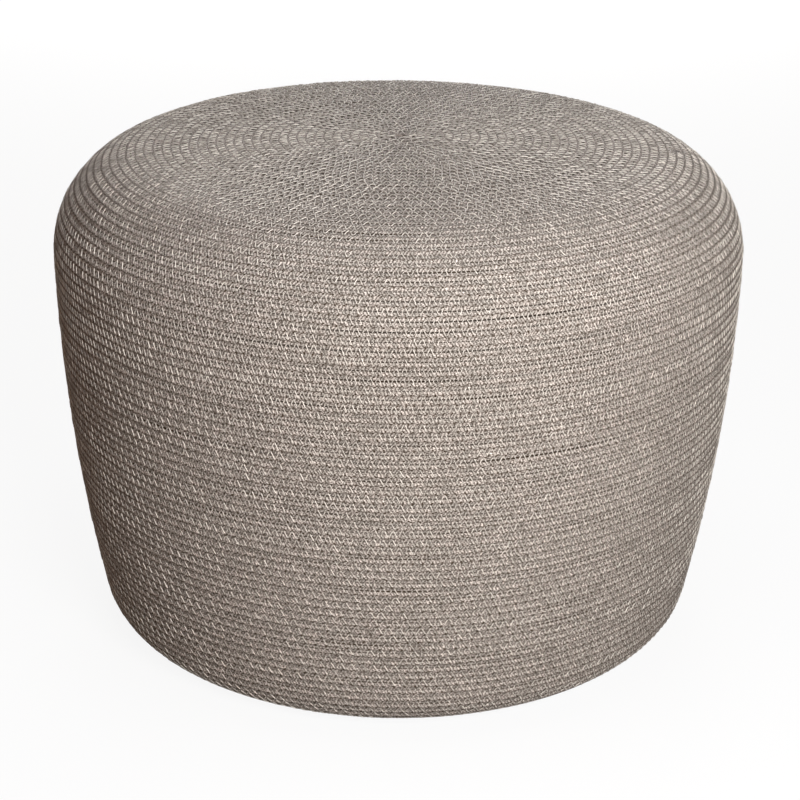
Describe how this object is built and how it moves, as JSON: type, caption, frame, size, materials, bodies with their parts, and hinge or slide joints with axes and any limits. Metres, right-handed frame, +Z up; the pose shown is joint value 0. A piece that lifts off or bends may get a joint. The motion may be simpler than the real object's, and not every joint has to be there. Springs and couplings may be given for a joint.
{
  "type": "outdoor ottoman footstool",
  "caption": "Round outdoor ottoman with a crowned top and softly tapered side, covered all over by a wound rope on a hollow core, on low glides.",
  "frame": {"origin": "middle of the footprint, on the ground under the glides", "axes": "+Z up along the drum's axis; the glides lie on +X, +Y, -X and -Y"},
  "size_m": [0.5999, 0.5998, 0.442],
  "materials": {
    "rope_cover": "braided outdoor rope in mixed greige, grey-green and brown yarns, matt",
    "core_plastic": "rotationally moulded polyethylene, fine matt texture",
    "plate_plastic": "moulded polyethylene plate, satin matt",
    "stainless_screws": "plain stainless steel",
    "insert_brass": "turned brass",
    "glide_nylon": "moulded black nylon"
  },
  "bodies": {
    "root": {"rope_winding": "rope_cover", "core_shell": "core_plastic", "base_plate": "plate_plastic", "base_screw_1": "stainless_screws", "base_screw_2": "stainless_screws", "base_screw_3": "stainless_screws", "base_screw_4": "stainless_screws", "base_screw_5": "stainless_screws", "base_screw_6": "stainless_screws", "base_screw_7": "stainless_screws", "base_screw_8": "stainless_screws", "threaded_insert_1": "insert_brass", "threaded_insert_2": "insert_brass", "threaded_insert_3": "insert_brass", "threaded_insert_4": "insert_brass", "threaded_insert_5": "insert_brass", "threaded_insert_6": "insert_brass", "threaded_insert_7": "insert_brass", "threaded_insert_8": "insert_brass", "glide_1": "glide_nylon", "glide_2": "glide_nylon", "glide_3": "glide_nylon", "glide_4": "glide_nylon", "glide_screw_1": "stainless_screws", "glide_screw_2": "stainless_screws", "glide_screw_3": "stainless_screws", "glide_screw_4": "stainless_screws"}
  },
  "joints": []
}
